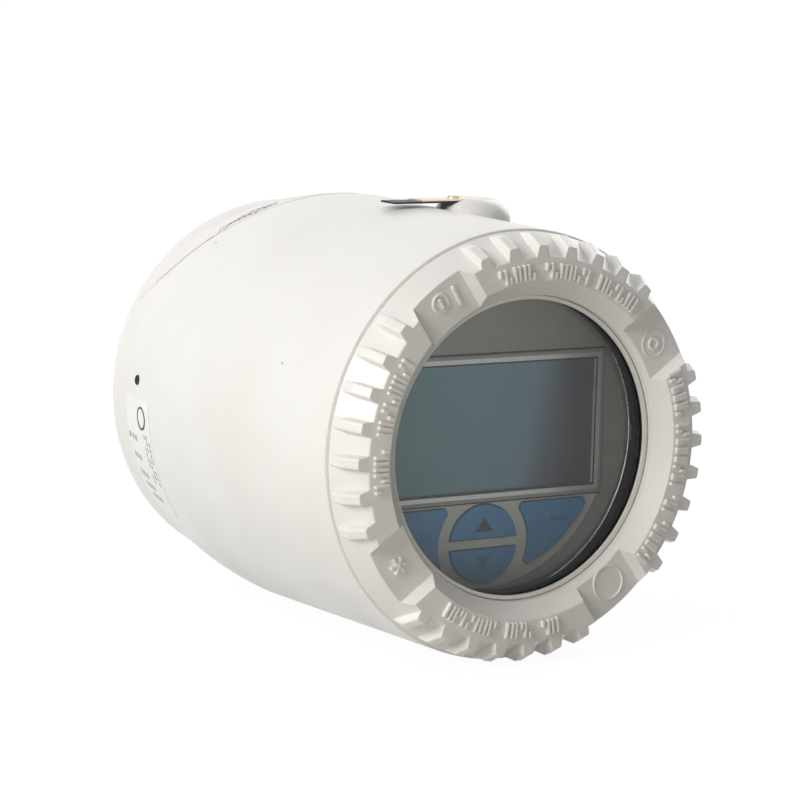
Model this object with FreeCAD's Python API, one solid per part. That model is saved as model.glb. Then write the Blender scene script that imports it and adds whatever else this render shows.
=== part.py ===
import FreeCAD, Part
import math
import os

Vector = FreeCAD.Vector

# Field-mounted temperature transmitter: a round cast housing that lies on its side, closed in
# front by a screwed cover with a window, with a plug-in display, terminals and electronics inside.
# All sizes are millimetres. The long axis is Y and the window looks towards -Y. Places along Y
# are measured back from the front face of the cover, and heights up from the long axis.

# Whole instrument
overall_length = 132.0
base_height = 53.8            # the long axis lies this far above the flat that it stands on
front_angle = -10.0           # how far the cover has come to rest past its marks, in degrees

# Fits
seam_gap = 0.3                # between the cover's flange and the housing
thread_gap = 0.4              # between the cover's skirt and its bore, where the thread would be
seat_gap = 0.1                # between pieces that are pushed or screwed together
key_gap = 0.3                 # round each key
film_gap = 0.05               # glue under a label

# Housing casting
body_front_radius = 54.0
body_radius = 55.9
shoulder_end_radius = 52.4
body_rear_radius = 51.3
shoulder_bulge = 0.75         # how far the shoulder's curve stands outside its chord
shoulder_length = 28.0
rear_taper_length = 14.0
back_edge_radius = 3.0
front_edge_radius = 0.4
cover_bore_radius = 49.0
cover_bore_depth = 15.3
chamber_radius = 48.0
module_bore_radius = 45.5
ledge_depth = 63.8            # from the housing's front face to the ledge under the module
back_wall = 10.0

# Cable entry on the right and sensor entry underneath, both tapped M20
entry_place = 48.0
entry_bore_radius = 9.25
entry_chamfer = 1.0
hub_radius = 16.0
hub_reach = 64.0
boss_radius = 13.0
boss_reach = 42.0             # the inner boss stops this far from the axis

# Tapped bracket holes in the base
bracket_hole_radius = 2.1
bracket_hole_depth = 6.0
bracket_spacing = 20.0
bracket_setback = 4.0         # the nearer hole lies this far behind the ledge

# Front cover
cover_depth = 9.9
cover_face_radius = 47.9
cover_rear_radius = 53.7
face_edge_radius = 0.6
flange_edge_radius = 0.4
funnel_mouth_radius = 42.0
funnel_throat_radius = 38.2
funnel_depth = 4.3            # the funnel ends in a step, and the lip lies below it
lip_radius = 37.0
lip_depth = 5.9
window_seat = 6.7             # the flat behind the lip that the window presses against
skirt_length = 12.1
skirt_wall = 3.8
rib_groups = 4
ribs_per_group = 7
rib_pitch = 9.73              # degrees
rib_crest_width = 2.6
rib_root_width = 5.2
rib_front_radius = 50.8
rib_bend_radius = 53.4        # a rib's crest rises to this, and then runs level
rib_bend = 4.6
rib_rear_radius = 53.3
rib_end = 9.0
rib_root_depth = 6.0          # how far a rib is rooted in the cover
rib_edge_radius = 0.6
pad_front_radius = 48.7       # the band that carries the pads lies lower than the ribs
pad_rear_radius = 53.4
pad_depth = 3.0
pad_floor_width = 15.4
pad_mouth_width = 18.6        # the ends of a pad slope outward to this

# Window
window_seal_thickness = 0.5
glass_thickness = 5.5
glass_radius = 42.2
cushion_thickness = 1.5
cushion_inner_radius = 37.4
retainer_thickness = 4.0
retainer_inner_radius = 39.4
retainer_slot_width = 4.0
retainer_slot_depth = 2.0

# O-ring behind the cover's flange
seal_section_radius = 1.1
seal_gap = 0.35

# Display
display_place = 24.8          # front of the display's face
face_radius = 46.5
face_thickness = 2.0
shell_radius = 40.2
shell_wall = 1.2
shell_end = 36.0
display_back_thickness = 2.0
screen_half_width = 35.5
screen_top = 21.2
screen_bottom = -16.2
screen_frame_width = 2.4
screen_frame_stand = 0.5      # the frame stands proud of the face
screen_sink = 0.4             # the screen lies behind the face
board_place = 28.8
board_thickness = 1.6
board_radius = 38.6
board_ring_radius = 30.0
board_ring_wall = 2.0

# Keys
key_centre_height = -27.0
key_circle_radius = 10.0
key_band = 2.8                # bar between the upper and the lower key
side_key_top = -17.3
side_key_outer_radius = 36.2
side_key_inner_radius = 13.7
side_key_corner = 1.2
key_stand = 0.6               # the keys stand proud of the face
key_flange = 0.8              # hidden rim that keeps a key in, wide and thick
key_lift = 0.3                # room between that rim and the face at rest
switch_radius = 2.5
switch_height = 0.9
switch_pocket_radius = 3.4
switch_pocket_depth = 1.0
side_switch_x = 20.0
side_switch_z = -23.5
round_switch_offset = 5.2

# Electronics, terminals and what carries the display
module_flange_thickness = 4.0
module_flange_radius = 47.4
module_flat = 41.0            # flats that let the flange pass the inner boss
module_radius = 44.0
module_rear_room = 12.0       # air between the module and the back wall
module_screw_circle = 42.5
module_screw_angles = (0.0, 180.0)
module_screw_radius = 1.5
module_screw_depth = 5.0
screw_head_radius = 2.8
screw_head_height = 2.2
terminal_count = 6
terminal_pitch = 10.0
terminal_height = 24.0
terminal_depth = 10.0
barrier_width = 1.2
barrier_height = 5.0
lug_width = 7.5
lug_height = 10.0
lug_thickness = 4.0
clamp_width = 7.4
clamp_height = 12.0
clamp_thickness = 2.0
terminal_screw_head_radius = 3.2
terminal_screw_radius = 2.0
terminal_screw_depth = 6.0
socket_width = 18.0
socket_height = 8.0
socket_centre_height = 24.0
header_length = 3.0
header_margin = 1.0
post_place = 24.0             # posts stand this far out both ways
post_flats = 6.0
post_pin_radius = 1.5
post_pin_length = 1.6

# Earth terminal on top
earth_side = 12.5             # its screw lies this far right of the middle
earth_place = 60.0
earth_boss_side = 18.0        # and the boss a little further
earth_boss_radius = 10.5
earth_boss_rise = 1.85        # its flat top stands this far above the top of the body there
earth_boss_edge = 6.0         # radius of its rounded side
earth_strip_width = 7.0
earth_strip_tail = 5.0        # from the screw to the strips' right end
saddle_thickness = 0.5
saddle_reach = 20.1           # from the screw to the free end that overhangs the boss
earth_clamp_thickness = 0.4
clamp_reach = 11.7
earth_screw_radius = 1.0
earth_screw_depth = 6.0
earth_head_radius = 1.6
earth_head_height = 0.5

# Labels and the pin beside them
label_thickness = 0.25
label_lead = 17.6             # the sticker starts this far ahead of the shoulder's end
label_length = 19.2
label_top_angle = 179.0
label_bottom_angle = 213.5
plate_thickness = 0.25
plate_edge_height = 33.7      # height of its sloping near edge at the shoulder's end
plate_rear_margin = 5.0
pin_lead = 8.0                # the pin sits this far ahead of the shoulder's end
pin_angle = 174.0
pin_radius = 1.3
pin_stand = 0.25
pin_depth = 3.0

# Places that follow
housing_front = cover_depth + seam_gap
shoulder_end = overall_length - rear_taper_length
shoulder_start = shoulder_end - shoulder_length
cover_bore_end = housing_front + cover_bore_depth
ledge_place = housing_front + ledge_depth
cavity_end = overall_length - back_wall
skirt_radius = cover_bore_radius - thread_gap
skirt_inner_radius = skirt_radius - skirt_wall
skirt_end = cover_depth + skirt_length
glass_front = window_seat + window_seal_thickness
glass_back = glass_front + glass_thickness
cushion_back = glass_back + cushion_thickness
glass_pocket_radius = glass_radius + seat_gap
face_back = display_place + face_thickness
display_back_end = shell_end + display_back_thickness
module_front = ledge_place - module_flange_thickness
module_end = cavity_end - module_rear_room
bracket_places = (ledge_place + bracket_setback, ledge_place + bracket_setback + bracket_spacing)
terminal_face = module_front - terminal_depth
terminal_half_width = (terminal_count * terminal_pitch + barrier_width) / 2
header_end = display_back_end + header_length
lug_centre = terminal_half_width + lug_width / 2
earth_share = (earth_place - housing_front) / (shoulder_start - housing_front)
earth_ground = body_front_radius + (body_radius - body_front_radius) * earth_share
boss_top = earth_ground + earth_boss_rise
earth_seat = boss_top - saddle_thickness - earth_clamp_thickness
clamp_seat = earth_seat + saddle_thickness
earth_head_seat = clamp_seat + earth_clamp_thickness
label_start = shoulder_end - label_lead
label_end = label_start + label_length
plate_slope_sum = shoulder_end + plate_edge_height
plate_end = overall_length - plate_rear_margin
pin_place = shoulder_end - pin_lead


def closed_face(start, *steps):
    """Face in the radius and length plane. A step is a point, or a pair of points for an arc."""
    edges = []
    here = Vector(start[0], start[1], 0)
    for step in steps:
        if isinstance(step[0], tuple):
            through = Vector(step[0][0], step[0][1], 0)
            there = Vector(step[1][0], step[1][1], 0)
            edges.append(Part.Arc(here, through, there).toShape())
        else:
            there = Vector(step[0], step[1], 0)
            edges.append(Part.LineSegment(here, there).toShape())
        here = there
    first = Vector(start[0], start[1], 0)
    edges.append(Part.LineSegment(here, first).toShape())
    return Part.Face(Part.Wire(edges))


def turned(face, angle=360.0):
    """Solid made by turning a face about the long axis, anticlockwise seen from the front."""
    return face.revolve(Vector(0, 0, 0), Vector(0, -1, 0), angle)


def turn(shape, angle):
    """Copy of a shape turned about the long axis."""
    copy = shape.copy()
    copy.rotate(Vector(0, 0, 0), Vector(0, -1, 0), angle)
    return copy


def rod(radius, start, end, x=0.0, z=0.0):
    """Cylinder along the long axis between two places."""
    return Part.makeCylinder(radius, end - start, Vector(x, start, z), Vector(0, 1, 0))


def ring(outer, inner, start, end):
    return rod(outer, start, end).cut(rod(inner, start, end))


def block(x_low, x_high, y_low, y_high, z_low, z_high):
    size = (x_high - x_low, y_high - y_low, z_high - z_low)
    return Part.makeBox(size[0], size[1], size[2], Vector(x_low, y_low, z_low))


def sideways(radius, near, far, place):
    """Cylinder that points to the right at one place along the axis."""
    return Part.makeCylinder(radius, far - near, Vector(near, place, 0), Vector(1, 0, 0))


def column(radius, low, high, place, x=0.0):
    """Upright cylinder at one place along the axis."""
    return Part.makeCylinder(radius, high - low, Vector(x, place, low), Vector(0, 0, 1))


def around(radius, angle):
    """Sideways and upward offset of a point at an angle round the axis."""
    turn_by = math.radians(angle)
    return radius * math.cos(turn_by), radius * math.sin(turn_by)


def screw(x, z, head_start, head_radius, head_height, shank_radius, shank_length):
    """Cheese-head screw driven in from the front."""
    seat = head_start + head_height
    head = rod(head_radius, head_start, seat, x, z)
    return head.fuse(rod(shank_radius, seat, seat + shank_length, x, z)).removeSplitter()


def save(name, *solids):
    """Writes one piece, or a group of like pieces, with the origin under the middle of the base."""
    shape = solids[0] if len(solids) == 1 else Part.makeCompound(list(solids))
    shape.translate(Vector(0, -overall_length / 2, base_height))
    shape.exportStep("parts/" + name + ".step")


def body_outline(grow):
    """Outer form of the casting, turned. It swells to the shoulder and tapers to a rounded back."""
    middle_place = (shoulder_start + shoulder_end) / 2
    middle_radius = (body_radius + shoulder_end_radius) / 2 + shoulder_bulge
    back = overall_length + grow
    corner_place = overall_length - back_edge_radius
    edge = back_edge_radius + grow
    rear = body_rear_radius + grow
    corner = math.sqrt(0.5) * edge
    return turned(closed_face(
        (0, housing_front - grow),
        (body_front_radius + grow, housing_front - grow),
        (body_radius + grow, shoulder_start),
        ((middle_radius + grow, middle_place), (shoulder_end_radius + grow, shoulder_end)),
        (rear, corner_place),
        ((rear - edge + corner, corner_place + corner), (rear - edge, back)),
        (0, back)))


def make_housing():
    """One casting: round pot with an earth boss on top, an entry hub on the right and a flat base."""
    reach = overall_length
    shell = body_outline(0.0)
    front_rim = [e for e in shell.Edges if abs(e.BoundBox.YMax - housing_front) < 0.01
                 and abs(e.BoundBox.YMin - housing_front) < 0.01]
    shell = shell.makeFillet(front_edge_radius, front_rim)
    shell = shell.fuse(make_earth_boss())
    shell = shell.fuse(sideways(hub_radius, 0, hub_reach, entry_place))
    shell = shell.cut(block(-reach, reach, -reach, 2 * reach, -2 * base_height, -base_height))
    seal_room_radius = cover_bore_radius + 2 * seal_section_radius + seal_gap
    seal_room_end = housing_front + 2 * seal_section_radius + seal_gap
    cavity = turned(closed_face(
        (0, housing_front - seam_gap),
        (seal_room_radius, housing_front - seam_gap),
        (seal_room_radius, seal_room_end),
        (cover_bore_radius, seal_room_end),
        (cover_bore_radius, cover_bore_end),
        (chamber_radius, cover_bore_end),
        (chamber_radius, ledge_place),
        (module_bore_radius, ledge_place),
        (module_bore_radius, cavity_end),
        (0, cavity_end)))
    inner_boss = column(boss_radius, -base_height, -boss_reach, entry_place)
    shell = shell.cut(cavity.cut(inner_boss))
    shell = shell.cut(column(entry_bore_radius, -base_height, 0, entry_place))
    shell = shell.cut(sideways(entry_bore_radius, 0, hub_reach, entry_place))
    wide = entry_bore_radius + entry_chamfer
    shell = shell.cut(Part.makeCone(wide, entry_bore_radius, entry_chamfer,
                                    Vector(0, entry_place, -base_height), Vector(0, 0, 1)))
    shell = shell.cut(Part.makeCone(wide, entry_bore_radius, entry_chamfer,
                                    Vector(hub_reach, entry_place, 0), Vector(-1, 0, 0)))
    earth_hole = earth_screw_radius + seat_gap
    earth_hole_end = earth_seat - earth_screw_depth - seat_gap
    shell = shell.cut(column(earth_hole, earth_hole_end, earth_seat, earth_place, earth_side))
    for place in bracket_places:
        top = bracket_hole_depth - base_height
        shell = shell.cut(column(bracket_hole_radius, -base_height, top, place))
    for angle in module_screw_angles:
        x, z = around(module_screw_circle, angle)
        room = module_screw_radius + seat_gap
        shell = shell.cut(rod(room, ledge_place, ledge_place + module_screw_depth, x, z))
    pin_hole = Part.makeCylinder(pin_radius + seat_gap, body_radius,
                                 Vector(pin_seat_radius() - pin_depth, pin_place, 0), Vector(1, 0, 0))
    shell = shell.cut(turn(pin_hole, pin_angle))
    return shell.removeSplitter()


def shoulder_radius(place):
    """Outside radius of the curved shoulder at one place."""
    half = shoulder_length / 2
    middle = (shoulder_start + shoulder_end) / 2
    along = (place - middle) / half
    chord = (body_radius + shoulder_end_radius) / 2 + (shoulder_end_radius - body_radius) / 2 * along
    return chord + shoulder_bulge * (1 - along * along)


def pin_seat_radius():
    return shoulder_radius(pin_place)


def tapered_bar(low, high, length):
    """Straight bar along Y, made from its height and width at two levels."""
    profile = [Vector(low[0], -length / 2, -low[1] / 2), Vector(high[0], -length / 2, -high[1] / 2),
               Vector(high[0], -length / 2, high[1] / 2), Vector(low[0], -length / 2, low[1] / 2),
               Vector(low[0], -length / 2, -low[1] / 2)]
    return Part.Face(Part.makePolygon(profile)).extrude(Vector(0, length, 0))


def rib_bar(near, far):
    """Tapered bar with softened edges, and a crest through two points of place and radius."""
    bar = tapered_bar((-rib_root_depth, rib_root_width), (0, rib_crest_width), 3 * cover_depth)
    crest = [e for e in bar.Edges if e.BoundBox.XMin > -0.01 and e.BoundBox.YLength > cover_depth]
    bar = bar.makeFillet(rib_edge_radius, crest)
    slope = math.degrees(math.atan2(far[1] - near[1], far[0] - near[0]))
    bar.rotate(Vector(0, 0, 0), Vector(0, 0, 1), -slope)
    bar.translate(Vector(near[1], near[0], 0))
    return bar


def make_front_cover():
    """Cast cover: funnel round the window, grip ribs in groups, sunk pads and a long skirt."""
    body = turned(closed_face(
        (funnel_mouth_radius, 0),
        (cover_face_radius, 0),
        (cover_rear_radius, cover_depth),
        (skirt_radius, cover_depth),
        (skirt_radius, skirt_end),
        (skirt_inner_radius, skirt_end),
        (skirt_inner_radius, cushion_back - retainer_slot_depth / 2),
        (glass_pocket_radius, cushion_back - retainer_slot_depth / 2),
        (glass_pocket_radius, window_seat),
        (lip_radius, window_seat),
        (lip_radius, lip_depth),
        (funnel_throat_radius, lip_depth),
        (funnel_throat_radius, funnel_depth)))
    face_edge = [e for e in body.Edges if e.BoundBox.YMax < 0.01
                 and e.BoundBox.XMax > cover_face_radius - 0.01]
    body = body.makeFillet(face_edge_radius, face_edge)
    flange_edge = [e for e in body.Edges if abs(e.BoundBox.YMin - cover_depth) < 0.01
                   and e.BoundBox.XMax > cover_rear_radius - 0.01]
    body = body.makeFillet(flange_edge_radius, flange_edge)
    group_angle = 360.0 / rib_groups
    slope = (cover_rear_radius - cover_face_radius) / cover_depth
    root_at_end = cover_face_radius + slope * rib_end
    band_root = (funnel_mouth_radius + cover_face_radius) / 2
    rising = rib_bar((0, rib_front_radius), (rib_bend, rib_bend_radius))
    level = rib_bar((rib_bend, rib_bend_radius), (rib_end, rib_rear_radius))
    rib = rising.common(level)
    rib = rib.common(block(0, 2 * body_radius, 0, rib_end, -rib_root_width, rib_root_width))
    pad_wide = group_angle - (ribs_per_group - 1) * rib_pitch
    pad_band = turned(closed_face(
        (band_root, 0),
        (pad_front_radius, 0),
        (pad_rear_radius, rib_end),
        (root_at_end, (rib_end + cover_depth) / 2),
        (band_root, cover_depth / 2)), pad_wide)
    pad_cut = tapered_bar((-pad_depth, pad_floor_width), (0, pad_mouth_width), 2 * body_radius)
    pad_cut = pad_cut.fuse(block(0, pad_depth, -body_radius, body_radius,
                                 -pad_mouth_width / 2, pad_mouth_width / 2))
    pad_cut.rotate(Vector(0, 0, 0), Vector(0, 0, 1), -90)
    pad_cut = pad_cut.common(block(0, body_radius, -pad_depth, pad_depth,
                                   -pad_mouth_width, pad_mouth_width))
    ribs = []
    pads = []
    for group in range(rib_groups):
        centre = front_angle + (group + 1) * group_angle
        for rib_number in range(ribs_per_group):
            offset = (rib_number - (ribs_per_group - 1) / 2) * rib_pitch
            ribs.append(turn(rib, centre + offset))
        pad_centre = centre + group_angle / 2
        ribs.append(turn(pad_band, pad_centre - pad_wide / 2))
        pads.append(turn(pad_cut, pad_centre))
    return body.multiFuse(ribs).cut(Part.makeCompound(pads)).removeSplitter()


def make_window_retainer():
    """Threaded ring with four spanner slots in its back."""
    outer = skirt_inner_radius - seat_gap
    end = cushion_back + retainer_thickness
    hoop = ring(outer, retainer_inner_radius, cushion_back, end)
    half = retainer_slot_width / 2
    slot = block(-outer, outer, end - retainer_slot_depth, end, -half, half)
    return hoop.cut(slot).cut(turn(slot, 90))


def make_cover_seal():
    """O-ring that stays on the cover's neck when the cover is unscrewed."""
    middle = cover_depth + seal_gap + seal_section_radius
    hoop_radius = skirt_radius + seal_gap + seal_section_radius
    return Part.makeTorus(hoop_radius, seal_section_radius, Vector(0, middle, 0), Vector(0, 1, 0))


def key_prism(name, grow, start, end):
    """One key's outline, grown evenly, between two places along the axis."""
    reach = face_radius
    centre = key_centre_height
    if name in ("up", "down"):
        disc = rod(key_circle_radius + grow, start, end, 0, centre)
        bar = key_band / 2 - grow
        if name == "up":
            return disc.common(block(-reach, reach, start, end, centre + bar, centre + reach))
        return disc.common(block(-reach, reach, start, end, centre - reach, centre - bar))
    sector = rod(side_key_outer_radius + grow, start, end)
    sector = sector.common(block(0, reach, start, end, -reach, side_key_top + grow))
    sector = sector.cut(rod(side_key_inner_radius - grow, start, end, 0, centre))
    corners = [e for e in sector.Edges if e.BoundBox.YLength > (end - start) / 2]
    sector = sector.makeFillet(side_key_corner + grow, corners)
    if name == "left":
        sector = sector.mirror(Vector(0, 0, 0), Vector(1, 0, 0))
    return sector


def switch_spot(name):
    """Where the dome switch under a key sits."""
    spots = {
        "up": (0.0, key_centre_height + round_switch_offset),
        "down": (0.0, key_centre_height - round_switch_offset),
        "left": (-side_switch_x, side_switch_z),
        "right": (side_switch_x, side_switch_z)}
    return spots[name]


def make_key(name):
    """Moulded key: cap through the face, hidden rim behind it and a pocket over its switch."""
    rim_front = face_back + key_lift
    rim_back = rim_front + key_flange
    cap = key_prism(name, 0.0, display_place - key_stand, rim_front)
    rim = key_prism(name, key_flange, rim_front, rim_back)
    x, z = switch_spot(name)
    pocket = rod(switch_pocket_radius, rim_back - switch_pocket_depth, rim_back, x, z)
    return cap.fuse(rim).cut(pocket).removeSplitter()


def make_bezel():
    """Face disc with a shallow shell behind it, open for the screen and the keys."""
    disc = rod(face_radius, display_place, face_back)
    shell = ring(shell_radius, shell_radius - shell_wall, face_back, shell_end)
    bezel = disc.fuse(shell)
    bezel = bezel.cut(block(-screen_half_width - seat_gap, screen_half_width + seat_gap,
                            display_place, face_back,
                            screen_bottom - seat_gap, screen_top + seat_gap))
    for name in ("up", "down", "left", "right"):
        bezel = bezel.cut(key_prism(name, key_gap, display_place, face_back))
    return bezel.removeSplitter()


def make_lcd_frame():
    wide = screen_half_width
    edge = screen_frame_width
    front = display_place - screen_frame_stand
    outer = block(-wide, wide, front, face_back, screen_bottom, screen_top)
    inner = block(edge - wide, wide - edge, front, face_back,
                  screen_bottom + edge, screen_top - edge)
    return outer.cut(inner)


def make_lcd_panel():
    edge = screen_frame_width + seat_gap
    wide = screen_half_width - edge
    return block(-wide, wide, display_place + screen_sink, board_place,
                 screen_bottom + edge, screen_top - edge)


def make_display_back():
    """Rear shell of the display: a disc with a ring that carries the board."""
    board_back = board_place + board_thickness
    disc = rod(shell_radius, shell_end, display_back_end)
    carrier = ring(board_ring_radius, board_ring_radius - board_ring_wall, board_back, shell_end)
    back = disc.fuse(carrier)
    for x in (-post_place, post_place):
        for z in (-post_place, post_place):
            hole = post_pin_radius + seat_gap
            back = back.cut(rod(hole, shell_end, display_back_end, x, z))
    return back.removeSplitter()


def make_posts():
    """Four hexagonal posts between the module and the display, each with a locating pin."""
    posts = []
    corner = post_flats / math.sqrt(3)
    for x in (-post_place, post_place):
        for z in (-post_place, post_place):
            corners = [Vector(x + around(corner, 60 * k)[0], display_back_end,
                              z + around(corner, 60 * k)[1]) for k in range(7)]
            hexagon = Part.Face(Part.makePolygon(corners))
            bar = hexagon.extrude(Vector(0, module_front - display_back_end, 0))
            pin = rod(post_pin_radius, display_back_end - post_pin_length, display_back_end, x, z)
            posts.append(bar.fuse(pin).removeSplitter())
    return posts


def make_module():
    """Potted electronics: a flange that sits on the ledge and a round body behind it."""
    flange = rod(module_flange_radius, module_front, ledge_place)
    wide = module_flange_radius
    flange = flange.common(block(-wide, wide, module_front, ledge_place, -module_flat, module_flat))
    module = flange.fuse(rod(module_radius, ledge_place, module_end))
    for angle in module_screw_angles:
        x, z = around(module_screw_circle, angle)
        hole = module_screw_radius + seat_gap
        module = module.cut(rod(hole, module_front, ledge_place + module_screw_depth, x, z))
    for side in (-1, 1):
        hole = module_screw_radius + seat_gap
        module = module.cut(rod(hole, module_front, ledge_place, side * lug_centre, 0))
    return module.removeSplitter()


def terminal_spots():
    first = -(terminal_count - 1) / 2 * terminal_pitch
    return [first + number * terminal_pitch for number in range(terminal_count)]


def make_terminal_block():
    """Moulded block with a barrier between every two terminals and a lug at each end."""
    half = terminal_half_width
    high = terminal_height / 2
    body = block(-half, half, terminal_face, module_front, -high, high)
    for number in range(terminal_count + 1):
        left = -half + number * terminal_pitch
        body = body.fuse(block(left, left + barrier_width,
                               terminal_face - barrier_height, terminal_face, -high, high))
    lug_half = lug_height / 2
    body = body.fuse(block(-half - lug_width, half + lug_width,
                           module_front - lug_thickness, module_front, -lug_half, lug_half))
    for side in (-1, 1):
        hole = module_screw_radius + seat_gap
        body = body.cut(rod(hole, module_front - lug_thickness, module_front, side * lug_centre, 0))
    for x in terminal_spots():
        hole = terminal_screw_radius + seat_gap
        body = body.cut(rod(hole, terminal_face, terminal_face + terminal_screw_depth, x, 0))
    return body.removeSplitter()


def make_terminal_clamps():
    clamps = []
    front = terminal_face - clamp_thickness
    for x in terminal_spots():
        plate = block(x - clamp_width / 2, x + clamp_width / 2, front, terminal_face,
                      -clamp_height / 2, clamp_height / 2)
        hole = terminal_screw_radius + seat_gap
        clamps.append(plate.cut(rod(hole, front, terminal_face, x, 0)))
    return clamps


def make_terminal_screws():
    start = terminal_face - clamp_thickness - screw_head_height
    length = clamp_thickness + terminal_screw_depth - seat_gap
    return [screw(x, 0, start, terminal_screw_head_radius, screw_head_height,
                  terminal_screw_radius, length) for x in terminal_spots()]


def make_block_screws():
    start = module_front - lug_thickness - screw_head_height
    length = lug_thickness + module_flange_thickness - seat_gap
    return [screw(side * lug_centre, 0, start, screw_head_radius, screw_head_height,
                  module_screw_radius, length) for side in (-1, 1)]


def make_module_screws():
    start = module_front - screw_head_height
    length = module_flange_thickness + module_screw_depth - seat_gap
    screws = []
    for angle in module_screw_angles:
        x, z = around(module_screw_circle, angle)
        screws.append(screw(x, z, start, screw_head_radius, screw_head_height,
                            module_screw_radius, length))
    return screws


def make_earth_boss():
    """Low round boss with a curved side, a flat top and a channel that keeps the strips straight."""
    foot = boss_top - earth_boss_edge
    seat_radius = earth_boss_radius - earth_boss_edge
    diagonal = earth_boss_edge * math.sqrt(0.5)
    boss = closed_face(
        (0, 0),
        (earth_boss_radius, 0),
        (earth_boss_radius, foot),
        ((seat_radius + diagonal, foot + diagonal), (seat_radius, boss_top)),
        (0, boss_top)).revolve(Vector(0, 0, 0), Vector(0, 1, 0), 360)
    boss.rotate(Vector(0, 0, 0), Vector(1, 0, 0), 90)
    boss.translate(Vector(earth_boss_side, earth_place, 0))
    half = earth_strip_width / 2 + seat_gap
    channel = block(earth_boss_side - earth_boss_radius, earth_side + earth_strip_tail + seat_gap,
                    earth_place - half, earth_place + half, earth_seat, boss_top)
    return boss.cut(channel)


def earth_strip(seat, thickness, reach):
    """Flat strip under the earth screw, with a free end that points to the left."""
    half = earth_strip_width / 2
    strip = block(earth_side - reach, earth_side + earth_strip_tail,
                  earth_place - half, earth_place + half, seat, seat + thickness)
    hole = earth_screw_radius + seat_gap
    return strip.cut(column(hole, seat, seat + thickness, earth_place, earth_side))


def make_earth_screw():
    top = earth_head_seat + earth_head_height
    head = column(earth_head_radius, earth_head_seat, top, earth_place, earth_side)
    shank_end = earth_seat - earth_screw_depth
    shank = column(earth_screw_radius, shank_end, earth_head_seat, earth_place, earth_side)
    return head.fuse(shank).removeSplitter()


def film(thickness):
    """Skin that lies on the outside of the casting, a film of glue away from it."""
    return body_outline(film_gap + thickness).cut(body_outline(film_gap))


def make_side_label():
    """Printed sticker on the left rear flank."""
    reach = 2 * body_radius
    wedge = turned(closed_face((0, label_start), (reach, label_start),
                               (reach, label_end), (0, label_end)),
                   label_bottom_angle - label_top_angle)
    return film(label_thickness).common(turn(wedge, label_top_angle))


def make_nameplate():
    """Thin plate bent over the upper rear shoulder, with a near edge that slopes back."""
    reach = body_radius + shoulder_length
    top_start = plate_slope_sum - reach
    corners = [Vector(-reach, top_start, reach), Vector(-reach, plate_end, reach),
               Vector(-reach, plate_end, plate_slope_sum - plate_end), Vector(-reach, top_start, reach)]
    wedge = Part.Face(Part.makePolygon(corners)).extrude(Vector(2 * reach, 0, 0))
    return film(plate_thickness).common(wedge)


def make_tag_pin():
    """Black pin driven into the left rear flank."""
    start = pin_seat_radius() - pin_depth
    length = pin_depth + pin_stand
    pin = Part.makeCylinder(pin_radius, length, Vector(start, pin_place, 0), Vector(1, 0, 0))
    return turn(pin, pin_angle)


def make_switches():
    domes = []
    for name in ("up", "down", "left", "right"):
        x, z = switch_spot(name)
        domes.append(rod(switch_radius, board_place - switch_height, board_place, x, z))
    return domes


os.makedirs("parts", exist_ok=True)

save("housing", make_housing())
save("front_cover", make_front_cover())
save("window_seal", ring(glass_radius, lip_radius, window_seat, glass_front))
save("window_glass", rod(glass_radius, glass_front, glass_back))
save("window_cushion", ring(glass_radius, cushion_inner_radius, glass_back, cushion_back))
save("window_retainer", make_window_retainer())
save("front_cover_seal", make_cover_seal())

save("display_bezel", make_bezel())
save("lcd_frame", make_lcd_frame())
save("lcd_panel", make_lcd_panel())
save("key_up", make_key("up"))
save("key_down", make_key("down"))
save("key_left", make_key("left"))
save("key_right", make_key("right"))
save("key_switches", *make_switches())
save("display_board", rod(board_radius, board_place, board_place + board_thickness))
save("display_back", make_display_back())
save("display_posts", *make_posts())

socket_low = socket_centre_height - socket_height / 2
socket_high = socket_centre_height + socket_height / 2
save("display_socket", block(-socket_width / 2, socket_width / 2, header_end, module_front,
                             socket_low, socket_high))
save("display_header", block(header_margin - socket_width / 2, socket_width / 2 - header_margin,
                             display_back_end, header_end,
                             socket_low + header_margin, socket_high - header_margin))

save("electronics_module", make_module())
save("module_screws", *make_module_screws())
save("terminal_block", make_terminal_block())
save("block_screws", *make_block_screws())
save("terminal_clamps", *make_terminal_clamps())
save("terminal_screws", *make_terminal_screws())

save("earth_saddle", earth_strip(earth_seat, saddle_thickness, saddle_reach))
save("earth_clamp", earth_strip(clamp_seat, earth_clamp_thickness, clamp_reach))
save("earth_screw", make_earth_screw())
save("nameplate", make_nameplate())
save("side_label", make_side_label())
save("tag_pin", make_tag_pin())
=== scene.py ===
import math

import bpy
from mathutils import Matrix, Quaternion, Vector


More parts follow.
